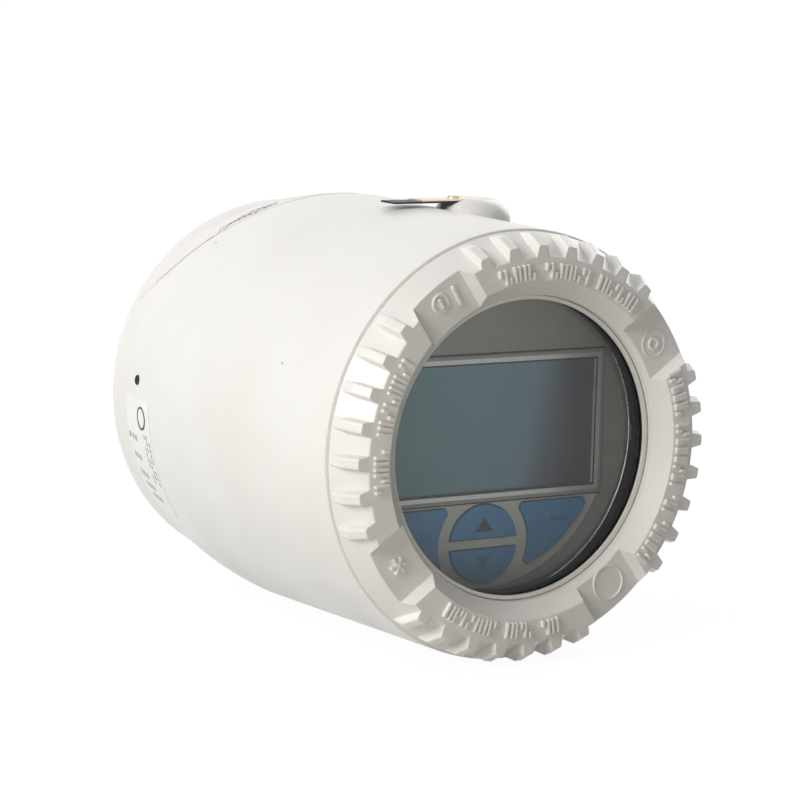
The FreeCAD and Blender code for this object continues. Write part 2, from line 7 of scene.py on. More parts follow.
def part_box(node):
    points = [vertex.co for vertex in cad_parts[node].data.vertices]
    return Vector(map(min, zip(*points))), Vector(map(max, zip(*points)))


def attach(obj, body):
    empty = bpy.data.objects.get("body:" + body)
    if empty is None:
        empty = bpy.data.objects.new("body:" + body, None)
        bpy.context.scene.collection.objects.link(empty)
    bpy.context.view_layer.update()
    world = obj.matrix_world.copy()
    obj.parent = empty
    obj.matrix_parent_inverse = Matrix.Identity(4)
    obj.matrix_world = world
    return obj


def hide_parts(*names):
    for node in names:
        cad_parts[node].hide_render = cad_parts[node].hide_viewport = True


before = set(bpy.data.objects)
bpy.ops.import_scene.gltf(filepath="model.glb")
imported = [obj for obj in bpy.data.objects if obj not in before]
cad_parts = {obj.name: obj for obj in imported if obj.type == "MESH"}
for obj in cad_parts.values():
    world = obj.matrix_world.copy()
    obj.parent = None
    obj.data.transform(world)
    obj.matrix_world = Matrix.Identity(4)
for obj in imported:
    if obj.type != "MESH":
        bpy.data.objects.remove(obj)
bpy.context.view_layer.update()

# Field-mounted temperature transmitter, dressed in the order in which it is put together.
# Lengths are metres. The window looks towards -Y, and the long axis lies above the flat base.

# Housing: one die-cast aluminium pot with an earth boss on top, an entry hub and a flat base.
# It is sprayed with warm white polyester powder and baked, so it has a soft gloss and a faint
# orange peel. Two specks show where grit lay under the powder.
mm = 0.001
grit = ((Vector((-50.9, -29.0, 73.4)) * mm, 0.45 * mm), (Vector((-34.9, 36.1, 96.2)) * mm, 0.6 * mm))
# A colour mix has sockets of like names, so its two colours and its result go by number.
mix_first = 6
mix_second = 7
mix_result = 2


def linear(colour):
    """Linear red, green, blue and alpha of an sRGB hex colour."""
    parts = [int(colour[i:i + 2], 16) / 255 for i in (1, 3, 5)]
    parts = [p / 12.92 if p <= 0.04045 else ((p + 0.055) / 1.055) ** 2.4 for p in parts]
    return (*parts, 1.0)


def add_node(tree, kind, inputs=None, **settings):
    """Adds a node with its settings, and links or fills its inputs by name or number."""
    node = tree.nodes.new(kind)
    for name, value in settings.items():
        setattr(node, name, value)
    for name, value in (inputs or {}).items():
        if isinstance(value, bpy.types.NodeSocket):
            tree.links.new(value, node.inputs[name])
        else:
            node.inputs[name].default_value = value
    return node


def new_finish(name, colour=None, **sockets):
    """New material. What is the same all over goes on the shader's own sockets."""
    material = bpy.data.materials.new(name)
    material.use_nodes = True
    tree = material.node_tree
    shader = tree.nodes["Principled BSDF"]
    if colour:
        shader.inputs["Base Color"].default_value = linear(colour)
    for socket, value in sockets.items():
        shader.inputs[socket.replace("_", " ")].default_value = value
    place = add_node(tree, "ShaderNodeTexCoord").outputs["Object"]
    return material, tree, shader, place


def mottle(tree, place, grain, low=0.0, high=1.0):
    """Uneven value between low and high, in patches of about the grain's size."""
    noise = add_node(tree, "ShaderNodeTexNoise", {"Vector": place, "Scale": 1 / grain, "Detail": 3.0})
    spread = add_node(tree, "ShaderNodeMapRange", {
        "Value": noise.outputs["Fac"], "From Min": 0.35, "From Max": 0.65, "To Min": low, "To Max": high})
    return spread.outputs["Result"]


def patches(tree, place, grain, first, second):
    """Colour that wanders between two tones, in patches of about the grain's size."""
    mix = add_node(tree, "ShaderNodeMix", {
        "Factor": mottle(tree, place, grain), mix_first: linear(first), mix_second: linear(second)},
        data_type="RGBA")
    return mix.outputs[mix_result]


def grain_bump(tree, shader, place, grain, depth, strength, edge=0.0):
    """Fine unevenness of a surface, over edges that are rounded by a small radius."""
    noise = add_node(tree, "ShaderNodeTexNoise", {"Vector": place, "Scale": 1 / grain, "Detail": 2.0})
    bump = add_node(tree, "ShaderNodeBump", {
        "Height": noise.outputs["Fac"], "Strength": strength, "Distance": depth})
    if edge:
        rounded = add_node(tree, "ShaderNodeBevel", {"Radius": edge}, samples=4)
        tree.links.new(rounded.outputs["Normal"], bump.inputs["Normal"])
    tree.links.new(bump.outputs["Normal"], shader.inputs["Normal"])


def dress(material, *nodes):
    """Gives solids their finish."""
    for node in nodes:
        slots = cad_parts[node].data.materials
        slots.clear()
        slots.append(material)


def powder_coat(name, specks=()):
    """Baked polyester powder: warm white, soft gloss, orange peel about 1.8 mm across."""
    paint, tree, shader, place = new_finish(name, IOR=1.5, Coat_Weight=0.2, Coat_Roughness=0.15)
    colour = patches(tree, place, 45 * mm, "#F0EEE9", "#EAE7E1")
    for spot, size in specks:
        far = add_node(tree, "ShaderNodeVectorMath", {0: place, 1: spot}, operation="DISTANCE")
        inside = add_node(tree, "ShaderNodeMapRange", {
            "Value": far.outputs["Value"], "From Min": size * 0.6, "From Max": size,
            "To Min": 1.0, "To Max": 0.0})
        speckled = add_node(tree, "ShaderNodeMix", {
            "Factor": inside.outputs["Result"], mix_first: colour, mix_second: linear("#A9A59E")},
            data_type="RGBA")
        colour = speckled.outputs[mix_result]
    tree.links.new(colour, shader.inputs["Base Color"])
    tree.links.new(mottle(tree, place, 12 * mm, low=0.32, high=0.42), shader.inputs["Roughness"])
    grain_bump(tree, shader, place, 1.8 * mm, depth=0.02 * mm, strength=0.12, edge=0.4 * mm)
    return paint


dress(powder_coat("polyester powder coat, baked on the cast housing", grit), "housing")

# Threads of the two M20 entries: tapped after painting, so they show bare cut aluminium, bright
# with a fine uneven sheen. The ridge runs just inside the tapping bore, at a 1.5 mm pitch.
axis_height = 53.8 * mm
entry_place = -18.0 * mm
entry_bore = 9.25 * mm
thread_pitch = 1.5 * mm
thread_depth = 0.45 * mm
thread_turns = 6
thread_steps = 48
cable_thread_inset = 11.5 * mm
sensor_thread_inset = 1.8 * mm
hub_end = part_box("housing")[1].x


def bare_metal(name, colour, roughness, grain, edge=0.0):
    """Plain metal with a fine uneven sheen."""
    metal, tree, shader, place = new_finish(name, colour, Metallic=1.0)
    sheen = mottle(tree, place, grain, low=roughness * 0.8, high=roughness * 1.25)
    tree.links.new(sheen, shader.inputs["Roughness"])
    grain_bump(tree, shader, place, grain / 4, depth=0.01 * mm, strength=0.15, edge=edge)
    return metal


def clear_selection():
    """Leaves nothing selected."""
    bpy.ops.object.select_all(action="DESELECT")


def only(piece):
    """Makes one piece the only one that operators act on."""
    clear_selection()
    piece.select_set(True)
    bpy.context.view_layer.objects.active = piece


def settle(piece):
    """Puts a piece's place, turn and size into its mesh."""
    only(piece)
    bpy.ops.object.transform_apply(location=True, rotation=True, scale=True)


def apply_modifier(piece, kind, **settings):
    """Adds a modifier with its settings and applies it."""
    only(piece)
    modifier = piece.modifiers.new(kind.lower(), kind)
    for name, value in settings.items():
        setattr(modifier, name, value)
    bpy.ops.object.modifier_apply(modifier=modifier.name)


def finish_piece(piece, name, material, body):
    """Names a new piece, gives it its finish and lets it ride on a body."""
    piece.name = name
    piece.data.name = name
    piece.data.materials.clear()
    piece.data.materials.append(material)
    settle(piece)
    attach(piece, body)


def revolve(section, axis, steps, **settings):
    """Revolves a section round an axis, closes its open ends and turns its faces outwards."""
    apply_modifier(section, "SCREW", axis=axis, angle=2 * math.pi, steps=steps, render_steps=steps,
                   use_merge_vertices=True, merge_threshold=0.001 * mm, **settings)
    bpy.ops.object.mode_set(mode="EDIT")
    bpy.ops.mesh.select_all(action="SELECT")
    bpy.ops.mesh.fill_holes(sides=3)
    bpy.ops.mesh.normals_make_consistent(inside=False)
    bpy.ops.object.mode_set(mode="OBJECT")


def copies_at(pattern, places):
    """Copies of one piece, each with its own mesh, at their places. The pattern is then removed."""
    made = []
    for matrix in places:
        only(pattern)
        bpy.ops.object.duplicate(linked=False)
        copy = bpy.context.object
        copy.matrix_world = matrix
        settle(copy)
        made.append(copy)
    bpy.data.objects.remove(pattern)
    return made


cut_aluminium = bare_metal("aluminium, cut by a tap", "#C9C9C6", 0.3, 1.0 * mm)
clear_selection()
bpy.ops.mesh.primitive_circle_add(vertices=3, radius=thread_depth, fill_type="NOTHING",
                                  location=(entry_bore, 0, 0), rotation=(math.pi / 2, math.pi / 2, 0))
ridge = bpy.context.object
settle(ridge)
revolve(ridge, "Z", thread_steps, screw_offset=thread_pitch, iterations=thread_turns)
cable_mouth = Matrix.Translation((hub_end - cable_thread_inset, entry_place, axis_height))
sensor_mouth = Matrix.Translation((0, entry_place, sensor_thread_inset))
cable_thread, sensor_thread = copies_at(
    ridge, (cable_mouth @ Matrix.Rotation(math.pi / 2, 4, "Y"), sensor_mouth))
finish_piece(cable_thread, "cable_entry_thread", cut_aluminium, "housing")
finish_piece(sensor_thread, "sensor_entry_thread", cut_aluminium, "housing")

# Earth terminal: a blackened steel saddle and a tinned brass plate under one slotted screw, made to
# clamp a wire between them. The black oxide is oiled and dark, and its black is partly painted shade
# of the gap under the plate. The tin is pale with a soft sheen and the screw yellow chromated.
# Its slot is a thin black bar on the head: painted shade of the slot's recess.
slot_width = 0.5 * mm
slot_stand = 0.04 * mm
slot_share = 0.98
dress(bare_metal("brass, stamped and tinned", "#E8D9C8", 0.4, 2.0 * mm, edge=0.1 * mm), "earth_clamp")
dress(bare_metal("steel, yellow chromated", "#D6C8A6", 0.35, 1.0 * mm, edge=0.1 * mm), "earth_screw")
# Partly painted shade: the saddle's black also stands for the dark gap under the plate.
black_oxide_and_shade, tree, shader, place = new_finish("steel, black oxide, oiled", IOR=1.5)
tree.links.new(patches(tree, place, 1.2 * mm, "#131211", "#1B1917"), shader.inputs["Base Color"])
tree.links.new(mottle(tree, place, 1.5 * mm, low=0.4, high=0.55), shader.inputs["Roughness"])
dress(black_oxide_and_shade, "earth_saddle")


def plain_block(size, middle, bevel):
    """Block with softened edges."""
    clear_selection()
    bpy.ops.mesh.primitive_cube_add(size=1.0, location=middle)
    piece = bpy.context.object
    piece.scale = size
    settle(piece)
    apply_modifier(piece, "BEVEL", width=bevel, segments=2, limit_method="NONE")
    return piece


screw_low, screw_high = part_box("earth_screw")
slot_size = ((screw_high.x - screw_low.x) * slot_share, slot_width, 2 * slot_stand)
slot_middle = ((screw_low.x + screw_high.x) / 2, (screw_low.y + screw_high.y) / 2, screw_high.z)
# Painted shade: a black bar stands for the slot's recess.
slot_shade_bar = plain_block(slot_size, slot_middle, slot_stand / 4)
finish_piece(slot_shade_bar, "earth_screw_slot", black_oxide_and_shade, "housing")


# Electronics: a module potted in dark epoxy, which stays slightly glossy where it set.
# It is screwed to a ledge in the housing by zinc-plated screws, grey and bright.
def moulding(name, light, dark, roughness, grain, strength=0.25, edge=0.2 * mm):
    """Moulded plastic with the mould's fine grain, drawn coarser than it is so that it shows."""
    plastic, tree, shader, place = new_finish(name, IOR=1.5)
    tree.links.new(patches(tree, place, 20 * grain, light, dark), shader.inputs["Base Color"])
    sheen = mottle(tree, place, 8 * grain, low=roughness * 0.85, high=roughness * 1.15)
    tree.links.new(sheen, shader.inputs["Roughness"])
    grain_bump(tree, shader, place, grain, depth=0.02 * mm, strength=strength, edge=edge)
    return plastic


dress(moulding("epoxy potting, poured and set", "#33363A", "#2A2C30", 0.35, 3.0 * mm), "electronics_module")
zinc_steel = bare_metal("steel, zinc plated", "#B9BABB", 0.3, 0.8 * mm, edge=0.1 * mm)
dress(zinc_steel, "module_screws", "block_screws", "terminal_screws")

# Terminals: a block moulded from green polyamide, with a dull sheen, screwed down in the housing.
# Stamped brass clamps, bare and yellow, sit between its barriers.
dress(moulding("polyamide, moulded green", "#2B6B4C", "#255E43", 0.5, 0.4 * mm), "terminal_block")
dress(bare_metal("brass, stamped", "#C8A664", 0.3, 1.5 * mm, edge=0.1 * mm), "terminal_clamps")

# Display carrier: hexagonal steel posts, a socket and the header that plugs into it. The posts are
# zinc plated. Socket, header and the display's rear shell are moulded, black with a dull sheen.
dress(zinc_steel, "display_posts")
black_moulding = moulding("polyester, moulded black", "#1B1B1D", "#141416", 0.5, 0.3 * mm)
dress(black_moulding, "display_socket", "display_header", "display_back")

# Display board: glass-fibre laminate under green solder resist, which is smooth and a little glossy.
# Four domes pressed from stainless steel sit on it, one under each key.
dress(moulding("glass-fibre laminate, green resist", "#1F5A36", "#1A4B2E", 0.35, 0.6 * mm, strength=0.1),
      "display_board")
dress(bare_metal("stainless steel, pressed domes", "#C4C4C2", 0.25, 1.0 * mm), "key_switches")

# Display face: a shell moulded from grey polycarbonate, with a fine matt grain that is drawn coarser
# than it is so that it shows. A lighter field is printed on it round the keys.
key_field_radius = 38.6 * mm
key_field_top = -16.2 * mm
face, tree, shader, place = new_finish("polycarbonate, moulded grey and printed", IOR=1.58)
middle = add_node(tree, "ShaderNodeVectorMath", {0: place, 1: (0.0, 0.0, axis_height)}, operation="SUBTRACT")
apart = add_node(tree, "ShaderNodeSeparateXYZ", {"Vector": middle.outputs["Vector"]})
flat = add_node(tree, "ShaderNodeCombineXYZ", {"X": apart.outputs["X"], "Z": apart.outputs["Z"]})
reach = add_node(tree, "ShaderNodeVectorMath", {0: flat.outputs["Vector"]}, operation="LENGTH")
within = add_node(tree, "ShaderNodeMath", {0: reach.outputs["Value"], 1: key_field_radius},
                  operation="LESS_THAN")
below = add_node(tree, "ShaderNodeMath", {0: apart.outputs["Z"], 1: key_field_top}, operation="LESS_THAN")
printed = add_node(tree, "ShaderNodeMath", {0: within.outputs["Value"], 1: below.outputs["Value"]},
                   operation="MULTIPLY")
body_grey = patches(tree, place, 6 * mm, "#A6A6A4", "#A0A09E")
face_colour = add_node(tree, "ShaderNodeMix", {
    "Factor": printed.outputs["Value"], mix_first: body_grey, mix_second: linear("#DADCDA")},
    data_type="RGBA")
tree.links.new(face_colour.outputs[mix_result], shader.inputs["Base Color"])
tree.links.new(mottle(tree, place, 3 * mm, low=0.5, high=0.6), shader.inputs["Roughness"])
grain_bump(tree, shader, place, 0.35 * mm, depth=0.02 * mm, strength=0.2, edge=0.2 * mm)
dress(face, "display_bezel")

# Screen: a reflective liquid-crystal panel behind a polariser, switched off. It is teal on the left and
# bluer in the middle, and its darker grey towards the right and the bottom is painted shade. The frame
# round it is moulded and silver lacquered, so it has a fine metallic grain under a soft gloss.
blue_start = -26.0 * mm
blue_end = 10.0 * mm
screen_shade_way = (0.982, 0.0, -0.187)
screen_shade_start = 1.0 * mm
screen_shade_end = 13.0 * mm


def along(tree, place, direction, start, end, low=0.0, high=1.0):
    """Value that goes from low to high between two distances along a direction."""
    way = add_node(tree, "ShaderNodeVectorMath", {0: place, 1: direction}, operation="DOT_PRODUCT")
    rise = add_node(tree, "ShaderNodeMapRange", {
        "Value": way.outputs["Value"], "From Min": start, "From Max": end, "To Min": low, "To Max": high},
        interpolation_type="SMOOTHSTEP")
    return rise.outputs["Result"]


screen, tree, shader, place = new_finish("polariser film over liquid crystal", Roughness=0.3, IOR=1.49)
teal = patches(tree, place, 18 * mm, "#6596A4", "#6092A2")
bluish = add_node(tree, "ShaderNodeMix", {
    "Factor": along(tree, place, (1.0, 0.0, 0.0), blue_start, blue_end),
    mix_first: teal, mix_second: linear("#7698B2")}, data_type="RGBA")
# Painted shade: the screen turns a darker grey towards the right and the bottom.
shaded_screen = add_node(tree, "ShaderNodeMix", {
    "Factor": along(tree, place, screen_shade_way, screen_shade_start, screen_shade_end),
    mix_first: bluish.outputs[mix_result], mix_second: linear("#585A68")}, data_type="RGBA")
tree.links.new(shaded_screen.outputs[mix_result], shader.inputs["Base Color"])
dress(screen, "lcd_panel")
silver, tree, shader, place = new_finish(
    "polycarbonate frame, silver lacquered", "#DCDEDE", Metallic=0.35, IOR=1.5)
tree.links.new(mottle(tree, place, 0.8 * mm, low=0.35, high=0.5), shader.inputs["Roughness"])
grain_bump(tree, shader, place, 0.2 * mm, depth=0.005 * mm, strength=0.1, edge=0.3 * mm)
dress(silver, "lcd_frame")

# Lines round the screen's frame and inside it: thin dull black bars on the face and round the panel,
# painted shade of the gaps there. A step moulded like the face runs round the frame's own edge.
shade_line_width = 0.45 * mm
line_thick = 0.06 * mm
frame_step = 0.9 * mm
frame_low, frame_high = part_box("lcd_frame")
panel_low, panel_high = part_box("lcd_panel")
face_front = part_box("display_bezel")[0].y


def join_all(pieces):
    """Makes one piece of several."""
    only(pieces[0])
    for piece in pieces:
        piece.select_set(True)
    if len(pieces) > 1:
        bpy.ops.object.join()
    return pieces[0]


def line_frame(half_wide, low, high, width, front):
    """Flat rectangular frame of four thin bars in one mesh."""
    edge = line_thick / 8
    side = half_wide - width / 2
    flat_bar = plain_block((2 * half_wide, line_thick, width), (0, front, 0), edge)
    upright = plain_block((width, line_thick, high - low - 2 * width), (0, front, (low + high) / 2), edge)
    bars = copies_at(flat_bar, [Matrix.Translation((0, 0, z)) for z in (low + width / 2, high - width / 2)])
    bars += copies_at(upright, [Matrix.Translation((x, 0, 0)) for x in (-side, side)])
    return join_all(bars)


step_frame = line_frame(frame_high.x, frame_low.z, frame_high.z, frame_step, frame_low.y)
finish_piece(step_frame, "lcd_frame_step", face, "housing")
# Painted shade: black bars stand for the shade in the gaps round the frame and round the panel.
gap_black = moulding("black in the gaps, painted shade", "#1C1C1D", "#161617", 0.6, 0.4 * mm)
inner_shade = line_frame(panel_high.x + shade_line_width, panel_low.z - shade_line_width, panel_high.z + shade_line_width,
                        shade_line_width, frame_low.y)
finish_piece(inner_shade, "lcd_inner_line", gap_black, "housing")
outer_shade = line_frame(frame_high.x + shade_line_width, frame_low.z - shade_line_width, frame_high.z + shade_line_width,
                        shade_line_width, face_front)
finish_piece(outer_shade, "lcd_outer_line", gap_black, "housing")

# Keys: four caps moulded from blue silicone rubber, with a silky matt surface.
# They stand through the face, and each presses on the dome behind it.
key_rubber = moulding("silicone rubber, moulded blue", "#549BD6", "#5093CC", 0.55, 0.3 * mm,
                      strength=0.15, edge=0.3 * mm)
dress(key_rubber, "key_up", "key_down", "key_left", "key_right")

# Signs on the keys: a triangle up in dark ink, and a triangle down and a plain bar worn to a faint
# blue. Each is printed in a film so thin that only its colour shows.
ink_thick = 0.06 * mm
ink_edge = ink_thick / 8
triangle_half = 2.6 * mm
triangle_squash = 0.85
up_sign_height = axis_height - 22.6 * mm
down_sign_height = axis_height - 31.2 * mm
bar_size = (4.6 * mm, ink_thick, 1.2 * mm)
bar_middle = (22.5 * mm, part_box("key_right")[0].y, axis_height - 22.0 * mm)


def printing_ink(name, colour, roughness):
    """Ink printed in an even film of one colour."""
    return new_finish(name, colour, Roughness=roughness, IOR=1.5)[0]


sign_ink = printing_ink("screen-printed ink, slate", "#2A3A48", 0.55)
faint_ink = printing_ink("screen-printed ink, worn blue", "#457FAC", 0.55)
clear_selection()
bpy.ops.mesh.primitive_cylinder_add(vertices=3, radius=triangle_half * 2 / math.sqrt(3), depth=ink_thick,
                                    rotation=(math.pi / 2, 0, 0))
triangle = bpy.context.object
settle(triangle)
bpy.ops.object.mode_set(mode="EDIT")
bpy.ops.mesh.select_all(action="SELECT")
bpy.ops.transform.resize(value=(1, 1, triangle_squash), center_override=(0, 0, 0))
bpy.ops.object.mode_set(mode="OBJECT")
apply_modifier(triangle, "BEVEL", width=ink_edge, segments=2, limit_method="NONE")
up_place = Matrix.Translation((0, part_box("key_up")[0].y, up_sign_height))
down_place = Matrix.Translation((0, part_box("key_down")[0].y, down_sign_height))
up_sign, down_sign = copies_at(triangle, (up_place, down_place @ Matrix.Rotation(math.pi, 4, "Y")))
finish_piece(up_sign, "key_up_sign", sign_ink, "key_up")
finish_piece(down_sign, "key_down_sign", faint_ink, "key_down")
right_bar = plain_block(bar_size, bar_middle, ink_edge)
finish_piece(right_bar, "key_right_sign", faint_ink, "key_right")

# Front cover: an aluminium casting with grip ribs, screwed on by hand. It is powder coated like the
# housing, so it has the same warm white, soft gloss and faint orange peel.
cover_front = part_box("front_cover")[0].y
cover_paint = powder_coat("polyester powder coat, baked on the cast cover")
dress(cover_paint, "front_cover")

# Land behind the cover's rim: a fine painted bead on which the tight cover meets the housing.
# It closes the clearance that the solids keep there, so the seam shows as a shallow groove.
rim_depth = 9.9 * mm
seam_gap = 0.3 * mm
land_radius = 53.32 * mm
land_bead = seam_gap * 0.48
ring_sides = 10
hoop_steps = 192


def ring(radius, bead, steps, middle):
    """Ring that faces the window's way: a small round section, revolved."""
    clear_selection()
    bpy.ops.mesh.primitive_circle_add(vertices=ring_sides, radius=bead, fill_type="NOTHING",
                                      location=(radius, 0, 0))
    piece = bpy.context.object
    settle(piece)
    revolve(piece, "Y", steps)
    piece.location = middle
    settle(piece)
    return piece


def hoop(radius, bead, depth):
    """Thin ring round the axis, at a depth behind the cover's front."""
    return ring(radius, bead, hoop_steps, (0, cover_front + depth, axis_height))


finish_piece(hoop(land_radius, land_bead, rim_depth + seam_gap / 2), "front_cover_land", cover_paint,
             "front_cover")

# Line in the corner between the funnel and the lip round the window: a fine bead, dull and a patchy
# beige, that darkens the corner as painted shade.
corner_radius = 38.12 * mm
corner_bead = 0.2 * mm
corner_depth = 5.85 * mm
# Painted shade: a dark beige bead in the corner.
corner_shade_paint, tree, shader, place = new_finish("painted shade in the corner, dull", Roughness=0.7, IOR=1.5)
tree.links.new(patches(tree, place, 4 * mm, "#8F887B", "#A29B8E"), shader.inputs["Base Color"])
finish_piece(hoop(corner_radius, corner_bead, corner_depth), "front_cover_corner_shade", corner_shade_paint,
             "front_cover")

# Raised marks on the cover's face: cast on, so they carry the same paint. They are plain bars of two
# lengths, in four groups between the pads. Each group is one mesh.
axis_line = Vector((0, 0, axis_height))
mark_middle = 44.6 * mm
mark_long = 4.0 * mm
mark_short = 1.9 * mm
mark_width = 0.95 * mm
mark_stand = 0.85 * mm
mark_root = 0.3 * mm
mark_gap = 1.5 * mm
mark_edge = 0.25 * mm


def raised_bar(length, width, ground, edge):
    """Bar that points at the axis, with its root below the ground that it stands on."""
    middle = (0, ground + (mark_root - mark_stand) / 2, 0)
    return plain_block((length, mark_stand + mark_root, width), middle, edge)


def round_axis(radius, angle, shift=0.0):
    """Place at a radius and an angle round the axis. Shift moves it sideways."""
    return (Matrix.Translation(axis_line) @ Matrix.Rotation(-math.radians(angle), 4, "Y")
            @ Matrix.Translation((radius, 0, shift)))


def mark_group(name, first, last, runs):
    """Bars in pairs, evenly spaced between two angles, with a gap between runs of pairs."""
    pitch = (last - first) / (sum(runs) + len(runs) - 1)
    half_long = (mark_long - mark_short) / 2
    patterns = (((mark_long, 0), (mark_short, half_long)), ((mark_short, -half_long), (mark_long, 0)),
                ((mark_long, 0), (mark_long, 0)), ((mark_long, 0), (mark_short, -half_long)))
    places = {mark_long: [], mark_short: []}
    spot = 0
    for run in runs:
        for _ in range(run):
            angle = first + (spot + 0.5) * pitch
            for side, (length, offset) in zip((-0.5, 0.5), patterns[(spot * 3 + run) % len(patterns)]):
                places[length].append(round_axis(mark_middle + offset, angle, side * mark_gap))
            spot += 1
        spot += 1
    bars = []
    for length, spots in places.items():
        bars += copies_at(raised_bar(length, mark_width, cover_front, mark_edge), spots)
    finish_piece(join_all(bars), name, cover_paint, "front_cover")


mark_group("cover_marks_top", first=106.5, last=51.0, runs=(4, 5, 5))
mark_group("cover_marks_right", first=23.5, last=-42.0, runs=(5, 7, 2, 5))
mark_group("cover_marks_bottom", first=281.0, last=235.5, runs=(2, 3, 6))
mark_group("cover_marks_left", first=189.5, last=147.0, runs=(4, 7))

# Signs in the four sunk pads: a ring with a bar, a ring round a dot, a wide ring and a star.
# They are cast on too, and stay lower than the face. Each place is a radius and an angle.
pad_floor = cover_front + 3.0 * mm
sign_edge = 0.15 * mm
sign_step = 0.04 * mm
sign_steps = 40
barred_ring = (46.2 * mm, 126.0)
lone_bar = (45.4 * mm, 120.2)
dotted_ring = (44.2 * mm, 34.0)
wide_ring = (43.6 * mm, 305.5)
star = (45.2 * mm, 214.5)
straight = (0.0,)
star_turns = (20.0, 80.0, 140.0)


def ring_sign(radius, stroke, at_radius, angle):
    """Raised ring on a pad's floor."""
    place = round_axis(at_radius, angle).to_translation()
    return ring(radius, stroke, sign_steps, place + Vector((0, pad_floor, 0)))


def pad_bars(length, width, at_radius, angle, turns):
    """Raised bars on a pad's floor, turned about their middle, each a little higher than the last."""
    return copies_at(raised_bar(length, width, pad_floor, sign_edge), [
        round_axis(at_radius, angle) @ Matrix.Rotation(math.radians(turn), 4, "Y")
        @ Matrix.Translation((0, -sign_step * place, 0)) for place, turn in enumerate(turns)])


pad_signs = {
    "pad_sign_upper_left": [ring_sign(2.1 * mm, 0.45 * mm, *barred_ring),
                            *pad_bars(2.6 * mm, 0.9 * mm, *barred_ring, straight),
                            *pad_bars(5.2 * mm, 0.9 * mm, *lone_bar, straight)],
    "pad_sign_upper_right": [ring_sign(3.4 * mm, 0.25 * mm, *dotted_ring),
                             ring_sign(1.3 * mm, 0.5 * mm, *dotted_ring)],
    "pad_sign_lower_right": [ring_sign(4.4 * mm, 0.35 * mm, *wide_ring)],
    "pad_sign_lower_left": pad_bars(4.6 * mm, 0.85 * mm, *star, star_turns)}
for name, pieces in pad_signs.items():
    finish_piece(join_all(pieces), name, cover_paint, "front_cover")

# Seals: rings moulded from black nitrile rubber, dull, with the faint bloom that it gets in service.
# One lies between the cover and the housing, and two bed the window.
seal_rubber = moulding("nitrile rubber, moulded black", "#161616", "#0F0F0F", 0.6, 0.5 * mm)
dress(seal_rubber, "front_cover_seal", "window_seal", "window_cushion")

# Window: a thick toughened glass disc, polished clear and ground at its edge. Lamp light goes straight
# through it, so that what lies behind is lit. A ring of black anodised aluminium, satin and dark,
# holds it from behind.
pane, tree, shader, place = new_finish(
    "toughened glass, polished", "#FAFCFB", Roughness=0.0, IOR=1.5, Transmission_Weight=1.0)
through = add_node(tree, "ShaderNodeBsdfTransparent", {"Color": linear("#F4F7F5")})
paths = add_node(tree, "ShaderNodeLightPath").outputs
lamp_ray = add_node(tree, "ShaderNodeMath", {0: paths["Is Shadow Ray"], 1: paths["Is Diffuse Ray"]},
                    operation="MAXIMUM")
both = add_node(tree, "ShaderNodeMixShader", {
    0: lamp_ray.outputs["Value"], 1: shader.outputs["BSDF"], 2: through.outputs["BSDF"]})
tree.links.new(both.outputs["Shader"], tree.nodes["Material Output"].inputs["Surface"])
dress(pane, "window_glass")
black_anodised = moulding("aluminium, black anodised", "#0E0E0F", "#0A0A0B", 0.45, 0.4 * mm)
dress(black_anodised, "window_retainer")

# Bright line on the ring's rear inner edge, where a chamfer was turned after anodising.
# It shows the same bare cut aluminium as the threads.
retainer_bore = 39.4 * mm
retainer_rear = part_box("window_retainer")[1].y
chamfer_bead = 0.24 * mm
finish_piece(hoop(retainer_bore, chamfer_bead, retainer_rear - chamfer_bead - cover_front),
             "window_retainer_chamfer", cut_aluminium, "front_cover")

# Nameplate: aluminium foil with a satin face, bent over the rear shoulder and glued down. Its near
# edge is cut along a slanting plane. The sheet stands in for its solid, because foil is too thin
# for its edge to throw a shadow.
sheet_gap = 0.02 * mm
sheet_thick = 0.06 * mm
sheet_start = 20 * mm
sheet_columns = 90
sheet_rows = 60
sheet_crease = math.radians(40)
plate_low, plate_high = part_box("nameplate")
plate_edge = 139.5 * mm


def pressed_on(size, spot, turn, axis, forwards):
    """Sheet pressed onto the housing: a fine grid that moves along one axis until it lies there."""
    clear_selection()
    bpy.ops.mesh.primitive_grid_add(x_subdivisions=sheet_columns, y_subdivisions=sheet_rows, size=1.0,
                                    location=spot, rotation=turn)
    sheet = bpy.context.object
    sheet.scale = (*size, 1.0)
    settle(sheet)
    apply_modifier(sheet, "SHRINKWRAP", target=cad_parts["housing"], wrap_method="PROJECT",
                   wrap_mode="ABOVE_SURFACE", offset=sheet_gap, use_project_x=axis == "X",
                   use_project_z=axis == "Z", use_positive_direction=forwards,
                   use_negative_direction=not forwards)
    return sheet


def finish_sheet(sheet, name, material, node):
    """Gives a sheet its thickness and lets it stand for a solid."""
    apply_modifier(sheet, "SOLIDIFY", thickness=sheet_thick, offset=1.0)
    only(sheet)
    bpy.ops.object.shade_smooth_by_angle(angle=sheet_crease)
    finish_piece(sheet, name, material, "housing")
    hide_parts(node)


foil, tree, shader, place = new_finish("aluminium foil plate, satin printed", IOR=1.5, Roughness=0.4)
tree.links.new(patches(tree, place, 15 * mm, "#EDEAE6", "#E6E2DE"), shader.inputs["Base Color"])
grain_bump(tree, shader, place, 0.4 * mm, depth=0.005 * mm, strength=0.1)
plate = pressed_on((plate_high.x - plate_low.x, plate_high.y - plate_low.y),
                   (0, (plate_low.y + plate_high.y) / 2, plate_high.z + sheet_start), (0, 0, 0), "Z", False)
only(plate)
bpy.ops.object.mode_set(mode="EDIT")
bpy.ops.mesh.select_all(action="SELECT")
bpy.ops.mesh.bisect(plane_co=(0, plate_edge, 0), plane_no=(0, 1, 1), clear_inner=True)
bpy.ops.object.mode_set(mode="OBJECT")
finish_sheet(plate, "nameplate_foil", foil, "nameplate")
